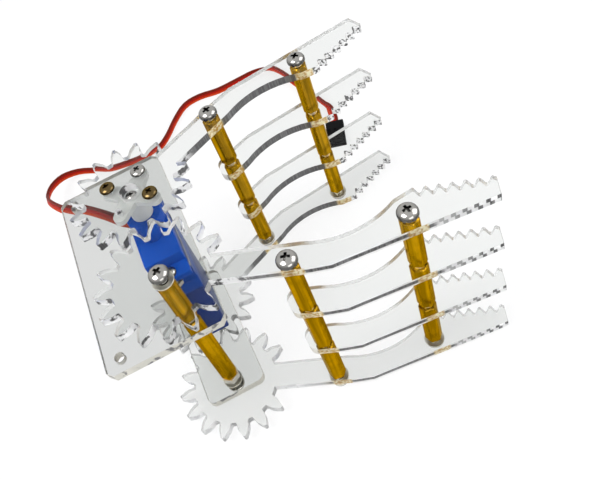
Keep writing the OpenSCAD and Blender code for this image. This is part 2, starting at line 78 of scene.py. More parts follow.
# Middle of the ribbon cable, from the servo to its connector, measured from PIVOTS
ROUTE = (
    (0.0, 0.0229, 0.038), (0.0, 0.026, 0.038), (-0.002, 0.031, 0.038), (-0.006, 0.035, 0.037),
    (-0.011, 0.04, 0.036), (-0.017, 0.049, 0.034), (-0.024, 0.059, 0.031), (-0.031, 0.069, 0.026),
    (-0.037, 0.079, 0.021), (-0.042, 0.09, 0.016), (-0.044, 0.099, 0.011), (-0.042, 0.107, 0.008),
    (-0.037, 0.113, 0.005), (-0.03, 0.114, 0.003), (-0.023, 0.111, 0.002), (-0.016, 0.106, 0.002),
    (-0.008, 0.104, 0.002), (0.0, 0.103, 0.002), (0.008, 0.105, 0.002), (0.014, 0.11, 0.002),
    (0.02, 0.117, 0.002), (0.027, 0.123, 0.002), (0.035, 0.124, 0.002), (0.044, 0.122, 0.002),
    (0.054, 0.122, 0.002), (0.063, 0.122, 0.002), (0.07, 0.119, 0.002), (0.074, 0.111, 0.002),
    (0.077, 0.099, 0.002), (0.0795, 0.09, 0.002), (0.0815, 0.0815, 0.002), (0.082, 0.079, 0.002),
    (0.082, 0.077, 0.0015), (0.0815, 0.074, 0.00125), (0.0805, 0.07125, 0.00125),
)

CLEAR_PLATES = (
    "base_plate", "lower_bar",
    "driven_top_gear_plate", "driven_upper_arm_plate", "driven_lower_arm_plate", "driven_bottom_gear_plate",
    "idler_top_gear_plate", "idler_upper_arm_plate", "idler_lower_arm_plate", "idler_bottom_gear_plate",
)
BASE, DRIVEN, IDLER = "base", "driven_finger", "idler_finger"

TOOTH_PITCH = 0.00315    # between two of the teeth that grip
HEX_FLATS = 0.005        # across the flats of a standoff
HEX_CORNER = 0.0003      # rounding of a standoff's upright corners
THREAD = 0.00148         # radius of a stud, just under that of its bore
BORE = 0.0015            # radius of the bore in a standoff's top
BROKEN_EDGE = 0.00006    # chamfer of a washer or nut
PAST = 0.001             # how far a cutter reaches past what it cuts
MERGE = 1e-7             # vertices this close are one

# Screws: diameter and height of the head, and radius of the shank
MAIN_SCREW = (0.006, 0.0024, THREAD)
SMALL_SCREW = (0.004, 0.0015, 0.001)


class GripperSizes(bpy.types.PropertyGroup):
    """Sizes of the details that the CAD model leaves plain."""

    standoff_chamfer: bpy.props.FloatProperty(
        name="Standoff chamfer", description="Turned chamfer at each end of a hex standoff",
        default=0.0004, min=0.0001, max=0.001, unit="LENGTH")
    case_rounding: bpy.props.FloatProperty(
        name="Case rounding", description="Rounding of the moulded edges of the servo case",
        default=0.00035, min=0.0001, max=0.001, unit="LENGTH")
    recess_width: bpy.props.FloatProperty(
        name="Recess width", description="Width of the cross recess in a screw, as a share of its head",
        default=0.18, min=0.08, max=0.22)
    recess_reach: bpy.props.FloatProperty(
        name="Recess reach", description="Length of the cross recess in a screw, as a share of its head",
        default=0.56, min=0.4, max=0.7)
    horn_head: bpy.props.FloatProperty(
        name="Horn screw head", description="Diameter of the heads of the screws in the servo horn",
        default=0.0048, min=0.0038, max=0.0054, unit="LENGTH")
    seat_gap: bpy.props.FloatProperty(
        name="Seat gap", description="Hairline gap under a screw head, at a standoff's ends and at a washer",
        default=0.00003, min=0.0, max=0.0001, unit="LENGTH")
    wire_pitch: bpy.props.FloatProperty(
        name="Wire pitch", description="Distance between two wires of the ribbon cable",
        default=0.0012, min=0.001, max=0.0014, unit="LENGTH")


class GripperColours(bpy.types.PropertyGroup):
    """Colours of the finishes."""

    acrylic_face: bpy.props.FloatVectorProperty(
        name="Acrylic face", description="Tint of the polished faces of the clear plates",
        subtype="COLOR", size=3, min=0, max=1, default=(0.87, 0.88, 0.87))
    # The dark parts of the laser-cut edges are painted reflection, not a colour of the acrylic
    edge_painted_dark: bpy.props.FloatProperty(
        name="Edge shade", description="Grey of the dark parts of the laser-cut edges",
        default=0.028, min=0.01, max=0.5)
    brass: bpy.props.FloatVectorProperty(
        name="Brass", description="Colour of the standoffs",
        subtype="COLOR", size=3, min=0, max=1, default=(0.4, 0.22, 0.012))
    steel: bpy.props.FloatVectorProperty(
        name="Steel", description="Colour of the screws that face up",
        subtype="COLOR", size=3, min=0, max=1, default=(0.44, 0.43, 0.41))
    servo_case: bpy.props.FloatVectorProperty(
        name="Servo case", description="Colour of the servo's plastic",
        subtype="COLOR", size=3, min=0, max=1, default=(0.0, 0.06, 0.38))
    pedestal: bpy.props.FloatVectorProperty(
        name="Pedestal", description="Colour of the block under the servo",
        subtype="COLOR", size=3, min=0, max=1, default=(0.01, 0.035, 0.2))
    nylon: bpy.props.FloatVectorProperty(
        name="Nylon", description="Colour of the servo horn and output shaft",
        subtype="COLOR", size=3, min=0, max=1, default=(0.62, 0.63, 0.62))
    housing: bpy.props.FloatVectorProperty(
        name="Housing", description="Colour of the connector and the cable boot",
        subtype="COLOR", size=3, min=0, max=1, default=(0.004, 0.004, 0.0045))


def sizes():
    return bpy.context.scene.gripper_sizes


def colours():
    return bpy.context.scene.gripper_colours


# -------- materials

def feed(tree, socket, value):
    """Joins value to a socket if it is a socket itself, and otherwise sets it there."""
    if isinstance(value, bpy.types.NodeSocket):
        tree.links.new(value, socket)
    else:
        socket.default_value = value


class Tree:
    """Short names for adding and joining nodes."""

    def __init__(self, tree):
        self.tree = tree

    def add(self, kind, **settings):
        node = self.tree.nodes.new(kind)
        for key, value in settings.items():
            setattr(node, key, value)
        return node

    def join(self, start, end):
        self.tree.links.new(start, end)

    def put(self, node, **values):
        for key, value in values.items():
            feed(self.tree, node.inputs[key.replace("_", " ")], value)
        return node

    def maths(self, operation, a, b=0.0, clamp=False):
        node = self.add("ShaderNodeMath", operation=operation, use_clamp=clamp)
        for socket, value in zip(node.inputs, (a, b)):
            feed(self.tree, socket, value)
        return node.outputs[0]

    def blend(self, factor, a, b):
        """Colour a where factor is 0, and b where it is 1."""
        node = self.add("ShaderNodeMix", data_type="RGBA")
        for socket, value in ((node.inputs["Factor"], factor), (node.inputs[6], a), (node.inputs[7], b)):
            feed(self.tree, socket, (*value, 1.0) if isinstance(value, tuple) else value)
        return node.outputs[2]

    def blend_value(self, factor, a, b):
        """Number a where factor is 0, and b where it is 1."""
        node = self.add("ShaderNodeMix", data_type="FLOAT")
        for k, value in ((0, factor), (2, a), (3, b)):
            feed(self.tree, node.inputs[k], value)
        return node.outputs[0]

    def blend_shader(self, factor, a, b):
        """The output of shader a where factor is 0, and of b where it is 1."""
        node = self.add("ShaderNodeMixShader")
        for socket, value in zip(node.inputs, (factor, a, b)):
            self.join(value, socket)
        return node.outputs[0]

    def split(self, vector):
        node = self.add("ShaderNodeSeparateXYZ")
        self.join(vector, node.inputs[0])
        return node.outputs

    def between(self, value, low, high):
        """value from 0..1 spread over low..high."""
        return self.maths("ADD", self.maths("MULTIPLY", value, high - low), low)

    def ramp(self, value, low, high):
        """0 below low, 1 above high, and even between them."""
        return self.maths("DIVIDE", self.maths("SUBTRACT", value, low), high - low, clamp=True)

    def rise(self, value, start, slope):
        """0 up to start, and then up to 1 at slope."""
        return self.maths("MULTIPLY", self.maths("SUBTRACT", value, start), slope, clamp=True)

    def fall(self, value, end, slope):
        """Down from 1 at slope, and 0 from end on."""
        return self.maths("MULTIPLY", self.maths("SUBTRACT", end, value), slope, clamp=True)


def fill_group(name, inputs, outputs):
    """An empty shader node group with these sockets, or None if it is there already."""
    if name in bpy.data.node_groups:
        return None
    group = bpy.data.node_groups.new(name, "ShaderNodeTree")
    for socket, kind, default in inputs:
        made = group.interface.new_socket(name=socket, in_out="INPUT", socket_type=kind)
        made.default_value = default
    for socket, kind in outputs:
        group.interface.new_socket(name=socket, in_out="OUTPUT", socket_type=kind)
    return group


def handling_marks():
    """Group: fine scuffs and soft smudges over a surface, for colour and roughness."""
    group = fill_group(
        "Handling marks",
        (("Vector", "NodeSocketVector", (0, 0, 0)), ("Scuff Scale", "NodeSocketFloat", 900.0),
         ("Smudge Scale", "NodeSocketFloat", 90.0)),
        (("Scuffs", "NodeSocketFloat"), ("Smudges", "NodeSocketFloat")))
    if group is None:
        return bpy.data.node_groups["Handling marks"]
    t = Tree(group)
    start, end = t.add("NodeGroupInput"), t.add("NodeGroupOutput")
    for scale, output, detail in (("Scuff Scale", "Scuffs", 4.0), ("Smudge Scale", "Smudges", 2.0)):
        noise = t.add("ShaderNodeTexNoise")
        t.put(noise, Vector=start.outputs["Vector"], Scale=start.outputs[scale], Detail=detail)
        t.join(noise.outputs[0], end.inputs[output])
    return group


def drawn_lines():
    """Group: fine lines along Z, as on drawn bar or a laser-cut edge, as a height."""
    group = fill_group(
        "Drawn lines",
        (("Vector", "NodeSocketVector", (0, 0, 0)), ("Across", "NodeSocketFloat", 4000.0),
         ("Along", "NodeSocketFloat", 60.0)),
        (("Lines", "NodeSocketFloat"),))
    if group is None:
        return bpy.data.node_groups["Drawn lines"]
    t = Tree(group)
    start, end = t.add("NodeGroupInput"), t.add("NodeGroupOutput")
    spread = t.add("ShaderNodeCombineXYZ")
    for key, socket in (("X", "Across"), ("Y", "Across"), ("Z", "Along")):
        t.join(start.outputs[socket], spread.inputs[key])
    stretch = t.add("ShaderNodeVectorMath", operation="MULTIPLY")
    t.join(start.outputs["Vector"], stretch.inputs[0])
    t.join(spread.outputs[0], stretch.inputs[1])
    noise = t.add("ShaderNodeTexNoise")
    t.put(noise, Vector=stretch.outputs[0], Scale=1.0, Detail=3.0)
    t.join(noise.outputs[0], end.inputs["Lines"])
    return group


def plain_base(name, **plain):
    """A new material, its Tree, and its Principled shader with these plain values."""
    material = bpy.data.materials.new(name)
    material.use_nodes = True
    t = Tree(material.node_tree)
    return material, t, t.put(material.node_tree.nodes["Principled BSDF"], **plain)


def finish_base(name, **plain):
    """The Tree, shader and coordinates of a new material for a finish."""
    _, t, shader = plain_base(name, **plain)
    return t, shader, t.add("ShaderNodeTexCoord")


def add_marks(t, where, scuff_scale, smudge_scale):
    """The scuffs and the smudges of a Handling marks group."""
    marks = t.add("ShaderNodeGroup", node_tree=handling_marks())
    t.put(marks, Vector=where.outputs["Object"], Scuff_Scale=scuff_scale, Smudge_Scale=smudge_scale)
    return marks.outputs["Scuffs"], marks.outputs["Smudges"]


def add_lines(t, where, across, along):
    """The lines of a Drawn lines group."""
    lines = t.add("ShaderNodeGroup", node_tree=drawn_lines())
    t.put(lines, Vector=where.outputs["Object"], Across=across, Along=along)
    return lines.outputs["Lines"]


def add_bump(t, shader, height, strength, distance):
    bump = t.add("ShaderNodeBump")
    t.put(bump, Height=height, Strength=strength, Distance=distance)
    t.join(bump.outputs[0], shader.inputs["Normal"])


def shaded(colour, share, lift=0.0):
    """A colour made darker or lighter."""
    return tuple(min(1.0, channel * share + lift) for channel in colour)


def polished_finish(name, clearness):
    """The polished face of clear cast acrylic, with the faintest scuffs."""
    # A clearness below 1 darkens the face: painted shade on the plates nearest the table
    face = shaded(colours().acrylic_face, clearness)
    t, shader, where = finish_base(
        name, IOR=1.49, Metallic=0.0, Transmission_Weight=1.0, Specular_Tint=(0.05, 0.05, 0.05, 1))
    scuffs, smudges = add_marks(t, where, 700.0, 70.0)
    t.join(t.blend(smudges, face, shaded(face, 0.985)), shader.inputs["Base Color"])
    t.join(t.between(scuffs, 0.0, 0.03), shader.inputs["Roughness"])


def cut_edge_finish(name, clearness, light, dark, spread, core, painted_spots, dashes, painted_brass_glint):
    """A laser-cut edge of clear acrylic: frosted and light, with painted reflection dark where it faces certain
    ways.

    clearness is the share of light that goes through, light its pale colour and dark the grey of its painted
    reflection.
    spread is how far round the painted reflection stays dark, and core how much of that is only a line along
    the middle of the edge. flecks is how many painted dark dots the gears and teeth have, dashes how dark the
    painted image of a finger's teeth is on the edge across from them, and glow how strong the painted glint of
    the brass is at the standoffs.
    """
    t, shader, where = finish_base(
        name, IOR=1.49, Metallic=0.0, Transmission_Weight=clearness, Specular_Tint=(0.5, 0.5, 0.5, 1))
    normal, point = t.split(where.outputs["Normal"]), t.split(where.outputs["Object"])
    scuffs, smudges = add_marks(t, where, 420.0, 70.0)
    fine, _ = add_marks(t, where, 1100.0, 70.0)
    lines = add_lines(t, where, 2600.0, 40.0)
    gear_end, tip_end, pitch, bottom, thick = plate_zones()
    uneven = t.maths("MULTIPLY", t.maths("SUBTRACT", smudges, 0.5), 1.4)

    # Height in the plate, from 0 at its bottom; ten spacings more keep the sum above 0
    level = t.maths("MODULO", t.maths("ADD", point["Z"], 10 * pitch - bottom), pitch)
    # Painted reflection: the edge is dark where it faces certain ways, and most of all along its middle
    arm = t.maths("MULTIPLY", painted_dark_facing(t, normal["Y"], uneven, spread), middle_line(t, level, thick, core))

    # Painted image of the teeth: dashes that grow darker towards the tip, or small painted dark dots, along the
    # teeth
    if dashes:
        teeth = t.maths("MULTIPLY", tooth_dashes(t, point["X"], level, thick, uneven), dashes)
        teeth = t.maths("MULTIPLY", teeth, t.ramp(point["X"], tip_end - 0.016, tip_end + 0.014))
        start = tip_end + 0.001
    else:
        teeth = t.rise(fine, 1.0 - painted_spots, 20.0)
        start = tip_end - 0.006
    arm = t.blend_value(t.ramp(point["X"], start, start + 0.002), arm, teeth)

    # Larger painted dark dots on the gears, faint on the lowest ones
    raised = t.ramp(point["Z"], bottom + thick, bottom + 2 * thick)
    spots = t.maths("MULTIPLY", t.rise(scuffs, 1.0 - painted_spots, 14.0), t.between(raised, 0.3, 1.0))
    painted_dark_patches = t.blend_value(t.ramp(point["X"], gear_end - 0.001, gear_end + 0.004), spots, arm)

    streaked = t.maths("MULTIPLY", painted_dark_patches, t.between(lines, 0.8, 1.15), clamp=True)
    # The painted reflection is left off where the edge is seen from inside the plate
    inside = t.add("ShaderNodeNewGeometry").outputs["Backfacing"]
    streaked = t.maths("MULTIPLY", streaked, t.maths("SUBTRACT", 1.0, inside))
    colour = t.blend(streaked, light, (dark, dark, dark * 1.04))
    # Painted reflection: a gold glint of the brass standoffs on the edge beside them
    if painted_brass_glint:
        painted_glint_colour = t.blend(t.ramp(fine, 0.42, 0.58), (0.5, 0.26, 0.02), (0.96, 0.86, 0.52))
        colour = t.blend(t.maths("MULTIPLY", near_standoffs(t, point["X"]), painted_brass_glint), colour, painted_glint_colour)
    t.join(colour, shader.inputs["Base Color"])
    t.join(t.between(lines, 0.2, 0.5), shader.inputs["Roughness"])
    add_bump(t, shader, lines, 0.35, 0.0002)


def painted_dark_facing(t, normal_y, uneven, spread):
    """1 where an edge faces one of three ways round the upright axis, a third of a turn apart, for painted
    reflection.

    It uses cos(3a) = 4 cos(a)^3 - 3 cos(a).
    """
    towards = t.maths("MULTIPLY", normal_y, -1.0)
    cube = t.maths("MULTIPLY", t.maths("POWER", t.maths("ABSOLUTE", towards), 3.0), t.maths("SIGN", towards))
    thirds = t.maths("SUBTRACT", t.maths("MULTIPLY", cube, 4.0), t.maths("MULTIPLY", towards, 3.0))
    return t.maths("MULTIPLY", t.maths("ADD", t.maths("ADD", thirds, uneven), spread), 2.2, clamp=True)


def middle_line(t, level, thick, core):
    """The painted reflection across an edge: 1 along its middle, and 1 - core by its two faces."""
    height = t.maths("ABSOLUTE", t.maths("SUBTRACT", t.maths("DIVIDE", level, thick / 2), 1.0))
    return t.between(t.fall(height, 0.62, 5.0), 1.0 - core, 1.0)


def tooth_dashes(t, x, level, thick, uneven):
    """Two rows of painted dashes, one over the other: the image of the teeth seen through to the outer edge."""
    upper = t.maths("MULTIPLY", t.maths("GREATER_THAN", level, thick / 2), 2.0)
    phase = t.maths("ADD", t.maths("MULTIPLY", x, math.tau / TOOTH_PITCH), upper)
    dash = t.maths("ADD", t.maths("SINE", phase), t.maths("MULTIPLY", uneven, 1.5))
    return t.maths("MULTIPLY", dash, 3.0, clamp=True)


def plate_zones():
    """Where the gears end and the finger tips begin along X, and the plates' spacing, foot and thickness."""
    _, low, high = middle("idler_bottom_gear_plate")
    _, top_low, _ = middle("idler_top_gear_plate")
    tip_standoff = middle("idler_tip_standoffs")[2]
    return 2 * PIVOTS.x - low.x, tip_standoff.x, (top_low.z - low.z) / 3, low.z, high.z - low.z


def near_standoffs(t, x):
    """1 across from the two standoffs of a finger, where a painted glint of the brass shows in the edge, and 0
    elsewhere.
    """
    reach, slope, painted_brass_glint = 0.0031, 1500.0, None
    for node in ("idler_inner_standoffs", "idler_tip_standoffs"):
        away = t.maths("ABSOLUTE", t.maths("SUBTRACT", x, middle(node)[0].x))
        here = t.fall(away, reach, slope)
        painted_brass_glint = here if painted_brass_glint is None else t.maths("MAXIMUM", painted_brass_glint, here)
    return painted_brass_glint


def metal_finish(name, colour, lines, roughness, rim, painted_side_shade=0.0, painted_sheen_bands=0.0):
    """Bright metal with lines from drawing or turning.

    lines is how close they are across and along the bar, and roughness its lowest and highest value. rim
    tints the glancing gloss, flank is painted shade that darkens the sides, and streaks is how much lighter and
    darker the metal is painted in broad bands along the bar, as painted highlight and shade.
    """
    t, shader, where = finish_base(name, Metallic=1.0, Specular_Tint=(*rim, 1.0))
    scuffs, smudges = add_marks(t, where, 1500.0, 260.0)
    grooves = add_lines(t, where, *lines)
    bright = tuple(colour)
    # Painted highlight and shade: broad bands along the bar, lighter and darker, stand in for its reflections
    if painted_sheen_bands:
        bands = t.ramp(add_lines(t, where, 620.0, 22.0), 0.4, 0.62)
        bright = t.blend(bands, shaded(colour, 1 - 0.55 * painted_sheen_bands), shaded(colour, 1 + painted_sheen_bands))
    bright = t.blend(smudges, bright, shaded(colour, 0.62))
    # Painted shade: the upright sides are darkened towards a tenth of the colour
    upright = t.maths("ABSOLUTE", t.split(where.outputs["Normal"])["Z"])
    side = t.rise(t.maths("SUBTRACT", 1.0, upright, clamp=True), 0.12, 2.2)
    dark = t.maths("MULTIPLY", side, painted_side_shade)
    t.join(t.blend(dark, bright, shaded(colour, 0.1)), shader.inputs["Base Color"])
    rough = t.maths("MULTIPLY", t.maths("ADD", scuffs, grooves), 0.5)
    t.join(t.between(rough, *roughness), shader.inputs["Roughness"])
    add_bump(t, shader, grooves, 0.12, 0.0001)


def plastic_finish(name, colour, roughness, gloss, grain=2600.0, bump=0.08):
    """Moulded plastic with a faint spark-eroded grain and a slightly uneven colour."""
    t, shader, where = finish_base(name, Metallic=0.0, IOR=1.5, Specular_IOR_Level=gloss)
    scuffs, smudges = add_marks(t, where, grain, 160.0)
    t.join(t.blend(smudges, shaded(colour, 0.82), shaded(colour, 1.12, 0.004)), shader.inputs["Base Color"])
    t.join(t.between(scuffs, *roughness), shader.inputs["Roughness"])
    add_bump(t, shader, scuffs, bump, 0.0001)


def make_finishes():
    """Makes every material of the gripper."""
    c = colours()
    # The low and base faces are darker copies: painted shade on the lowest gear plates and the base plate
    for name, clearness in (("Polished acrylic", 1.0), ("Polished acrylic, painted shade, low", 0.94),
                            ("Polished acrylic, painted shade, base", 0.8)):
        polished_finish(name, clearness)
    # shade is the grey of the painted reflection in the cut edges
    frosted, base_frosted, shade = (0.93, 0.93, 0.93), (0.66, 0.64, 0.57), c.edge_painted_dark
    cut_edge_finish("Cut edge, far finger", 0.55, frosted, shade,
                    spread=0.5, core=0.0, painted_spots=0.5, dashes=0.0, painted_brass_glint=0.95)
    cut_edge_finish("Cut edge, near finger", 0.72, frosted, shade * 0.2,
                    spread=0.1, core=1.0, painted_spots=0.49, dashes=1.0, painted_brass_glint=0.95)
    cut_edge_finish("Cut edge, base", 0.3, base_frosted, shade * 5,
                    spread=-0.25, core=0.6, painted_spots=0.46, dashes=0.0, painted_brass_glint=0.0)
    drawn, turned_lines = (5200.0, 90.0), (3000.0, 3000.0)
    # The brass gets painted highlight and shade in bands along it
    metal_finish("Drawn brass", c.brass, drawn, (0.12, 0.3), (0.8, 0.6, 0.2), painted_sheen_bands=0.8)
    # flank paints shade on the sides of these screw heads
    metal_finish("Dark brass", (0.15, 0.105, 0.045), drawn, (0.08, 0.22), (0.7, 0.6, 0.4), painted_side_shade=0.8)
    metal_finish("Plated steel", c.steel, turned_lines, (0.05, 0.18), (0.8, 0.8, 0.8), painted_side_shade=0.75)
    # This steel is lighter than the plated steel: painted light on the screws under the plates
    metal_finish("Bright steel, painted light", (0.66, 0.64, 0.6), turned_lines, (0.08, 0.2), (0.9, 0.9, 0.9))
    # A pale warm steel: painted light and a painted reflection of the brass on the washers and nuts
    metal_finish("Satin steel, painted brass light", (0.82, 0.78, 0.68), turned_lines, (0.3, 0.45), (0.9, 0.9, 0.9))
    plastic_finish("Blue servo plastic", c.servo_case, (0.2, 0.4), 0.06)
    plastic_finish("Dark blue plastic", c.pedestal, (0.2, 0.4), 0.15)
    plastic_finish("White nylon", c.nylon, (0.35, 0.55), 0.2)
    plastic_finish("Black housing", c.housing, (0.5, 0.7), 0.03, bump=0.15)
    for name, colour in (("Brown wire", (0.14, 0.011, 0.004)), ("Red wire", (0.36, 0.007, 0.002)),
                         ("Orange wire", (0.5, 0.045, 0.006))):
        plastic_finish(name, colour, (0.35, 0.5), 0.04, grain=1800.0)


def finish(name):
    return bpy.data.materials[name]


# -------- shapes

def middle(node):
    """The middle of a CAD node, its lowest and its highest corner."""
    low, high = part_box(node)
    return (Vector(low) + Vector(high)) / 2, Vector(low), Vector(high)


def keep(name, bm, materials, body, node, smooth_under=35.0):
    """Makes bm a piece that rides on body, takes these finishes and stands for a CAD node."""
    bmesh.ops.recalc_face_normals(bm, faces=bm.faces)
    mesh = bpy.data.meshes.new(name)
    bm.to_mesh(mesh)
    bm.free()

    # Normals stored for a CAD mesh's loose triangles don't fit it once it is merged
    stored = mesh.attributes.get("custom_normal")
    if stored:
        mesh.attributes.remove(stored)
    mesh.shade_smooth()
    mesh.set_sharp_from_angle(angle=math.radians(smooth_under))
    for material in materials:
        mesh.materials.append(finish(material))
    piece = bpy.data.objects.new(name, mesh)
    bpy.context.scene.collection.objects.link(piece)
    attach(piece, body)
    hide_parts(node)
    return piece


def edges_at(verts):
    """The edges at these vertices, each one once."""
    return list(dict.fromkeys(edge for vert in verts for edge in vert.link_edges))


def climb(edge):
    """How much higher one end of an edge is than the other."""
    return abs(edge.verts[0].co.z - edge.verts[1].co.z)


def bevel(bm, edges, width, segments):
    """Rounds edges, or chamfers them where segments is 1."""
    return bmesh.ops.bevel(
        bm, geom=edges, offset=width, segments=segments, affect="EDGES", profile=0.5, material=-1)


def add_box(bm, low, high, rounding=0.0, segments=2):
    """A block between two corners, its edges rounded."""
    low, high = Vector(low), Vector(high)
    place = Matrix.Translation((low + high) / 2) @ Matrix.Diagonal((*(high - low), 1.0))
    made = bmesh.ops.create_cube(bm, size=1.0, matrix=place)
    if rounding:
        bevel(bm, edges_at(made["verts"]), rounding, segments)


def add_bar(bm, centre, z0, z1, radius, sides, turn=0.0, chamfer=0.0, segments=1, top_only=False, corner=0.0):
    """An upright bar with a number of sides, rounded corners and chamfered or rounded ends."""
    halfway = (z0 + z1) / 2
    place = Matrix.Translation((centre[0], centre[1], halfway)) @ Matrix.Rotation(math.radians(turn), 4, "Z")
    made = bmesh.ops.create_cone(
        bm, cap_ends=True, segments=sides, radius1=radius, radius2=radius, depth=z1 - z0, matrix=place)
    verts = made["verts"]
    if corner:
        upright = [edge for edge in edges_at(verts) if climb(edge) > MERGE]
        verts = bevel(bm, upright, corner, 3)["verts"]
    if chamfer:
        level = [edge for edge in edges_at(verts) if climb(edge) < MERGE]
        ends = [edge for edge in level if not top_only or edge.verts[0].co.z > halfway]
        bevel(bm, ends, chamfer, segments)


def turned(bm, profile, centre, z, up):
    """Spins a profile of (radius, height) points about an upright axis; it starts and ends on the axis."""
    verts = [bm.verts.new((centre[0] + r, centre[1], z + up * h)) for r, h in profile]
    edges = [bm.edges.new(pair) for pair in zip(verts, verts[1:])]
    bmesh.ops.spin(
        bm, geom=verts + edges, cent=(centre[0], centre[1], z), axis=(0, 0, 1), angle=math.tau, steps=32,
        use_merge=True)
    bmesh.ops.remove_doubles(bm, verts=bm.verts, dist=MERGE)


def cut_out(bm, cutter):
    """bm with the cutter's solid taken away. Both are used up, and a new bmesh comes back."""
    pair = []
    for part in (bm, cutter):
        bmesh.ops.recalc_face_normals(part, faces=part.faces)
        mesh = bpy.data.meshes.new("cut")
        part.to_mesh(mesh)
        part.free()
        pair.append(bpy.data.objects.new("cut", mesh))
        bpy.context.scene.collection.objects.link(pair[-1])
    body, tool = pair
    modifier = body.modifiers.new("Cut", "BOOLEAN")
    modifier.operation, modifier.solver, modifier.object = "DIFFERENCE", "EXACT", tool
    modifier.use_self = True
    graph = bpy.context.evaluated_depsgraph_get()
    result = bmesh.new()
    result.from_mesh(body.evaluated_get(graph).to_mesh())
    for done in pair:
        mesh = done.data
        bpy.data.objects.remove(done)
        bpy.data.meshes.remove(mesh)
    return result


def merged(parts):
    """One bmesh with all parts in it."""
    bm = bmesh.new()
    for part in parts:
        mesh = bpy.data.meshes.new("part")
        part.to_mesh(mesh)
        part.free()
        bm.from_mesh(mesh)
        bpy.data.meshes.remove(mesh)
    return bm


def islands(node):
    """The middle, lowest and highest corner of each separate solid in a CAD node."""
    bm = bmesh.new()
    bm.from_mesh(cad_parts[node].data)
    bmesh.ops.remove_doubles(bm, verts=bm.verts, dist=MERGE)
    left, found = set(bm.verts), []
    while left:
        group, front = set(), [left.pop()]
        while front:
            vert = front.pop()
            group.add(vert)
            for other in (link.other_vert(vert) for link in vert.link_edges):
                if other in left:
                    left.discard(other)
                    front.append(other)
        low = Vector([min(v.co[i] for v in group) for i in range(3)])
        high = Vector([max(v.co[i] for v in group) for i in range(3)])
        found.append(((low + high) / 2, low, high))
    bm.free()
    return sorted(found, key=lambda item: (round(item[0].z, 5), round(item[0].x, 5), item[0].y))


def screw(centre, z, head_d, head_h, shank_r, shank_l, up, turn):
    """A pan head screw with a cross recess, its head seated at height z and facing up or down."""
    bm = bmesh.new()

    # From the axis at the shank's foot, up to the seat, round the rim and over the dome to the axis
    rim, steps, dome = head_h * 0.3, 8, []
    for k in range(steps + 1):
        angle = math.radians(90.0 * k / steps)
        across = head_d / 2 * math.cos(angle) ** 0.9 if k < steps else 0.0
        dome.append((across, rim + (head_h - rim) * math.sin(angle)))
    shank = [(0.0, -shank_l), (shank_r * 0.8, -shank_l), (shank_r, -shank_l + shank_r * 0.2), (shank_r, 0.0)]
    seat = [(head_d / 2 * 0.95, 0.0), (head_d / 2, head_h * 0.06)]
    turned(bm, shank + seat + dome, centre, z, up)

    # The recess narrows to this share of its size at its foot
    narrowing = 0.6
    cutter = bmesh.new()
    arm = Matrix.Diagonal((head_d * sizes().recess_reach, head_d * sizes().recess_width, head_h * 1.1, 1.0))
    axis = Vector((centre[0], centre[1], 0))
    for k in range(2):
        top = Matrix.Translation((centre[0], centre[1], z + up * head_h))
        place = top @ Matrix.Rotation(math.radians(turn + 90 * k), 4, "Z") @ arm
        made = bmesh.ops.create_cube(cutter, size=1.0, matrix=place)
        for vert in (v for v in made["verts"] if (v.co.z - z) * up < head_h):
            flat = Vector((vert.co.x, vert.co.y, 0))
            vert.co = axis * (1 - narrowing) + flat * narrowing + Vector((0, 0, vert.co.z))
    return cut_out(bm, cutter)


def screws_for(node, body, material, size, up, turn):
    """Replaces a CAD node of plain screws by finished ones in the same places, each turned further."""
    head_d, head_h, shank_r = size
    parts = []
    for k, (centre, low, high) in enumerate(islands(node)):
        head = head_h - sizes().seat_gap
        seat = high.z - head if up > 0 else low.z + head
        parts.append(screw(centre, seat, head_d, head, shank_r, high.z - low.z - head_h, up, turn + 31.0 * k))
    keep(node + "_finished", merged(parts), (material,), body, node)


def rings_for(node, body, bore, sides):
    """Replaces a CAD node of washers or nuts by finished ones with broken edges and a hairline gap."""
    parts, gap = [], sizes().seat_gap
    for centre, low, high in islands(node):
        wide, deep = high.x - low.x, high.y - low.y
        turn = 0.0 if wide >= deep else 90.0
        ring, cutter = bmesh.new(), bmesh.new()
        add_bar(ring, centre, low.z + gap, high.z - gap, max(wide, deep) / 2, sides, turn, BROKEN_EDGE)
        add_bar(cutter, centre, low.z - PAST, high.z + PAST, bore, 32)
        parts.append(cut_out(ring, cutter))
    # Washers and nuts take the pale warm steel: painted light and painted brass reflection
    keep(node + "_finished", merged(parts), ("Satin steel, painted brass light",), body, node)


def dress(node, material):
    """Puts a finish on a CAD node that is shown as it is."""
    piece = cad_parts[node]
    if not piece.material_slots:
        piece.data.materials.append(finish(material))
    for slot in piece.material_slots:
        slot.material = finish(material)


def smooth_route(points, steps):
    """A smooth curve through the points, with so many steps between two."""
    points = [Vector(p) for p in points]
    ends = [2 * points[0] - points[1]] + points + [2 * points[-1] - points[-2]]
    out = []
    for a, b, c, d in zip(ends, ends[1:], ends[2:], ends[3:]):
        square, cube = 2 * a - 5 * b + 4 * c - d, 3 * b - a - 3 * c + d
        for k in range(steps):
            u = k / steps
            out.append(0.5 * ((2 * b) + (c - a) * u + square * u * u + cube * u ** 3))
    out.append(points[-1])
    return out


# -------- operators

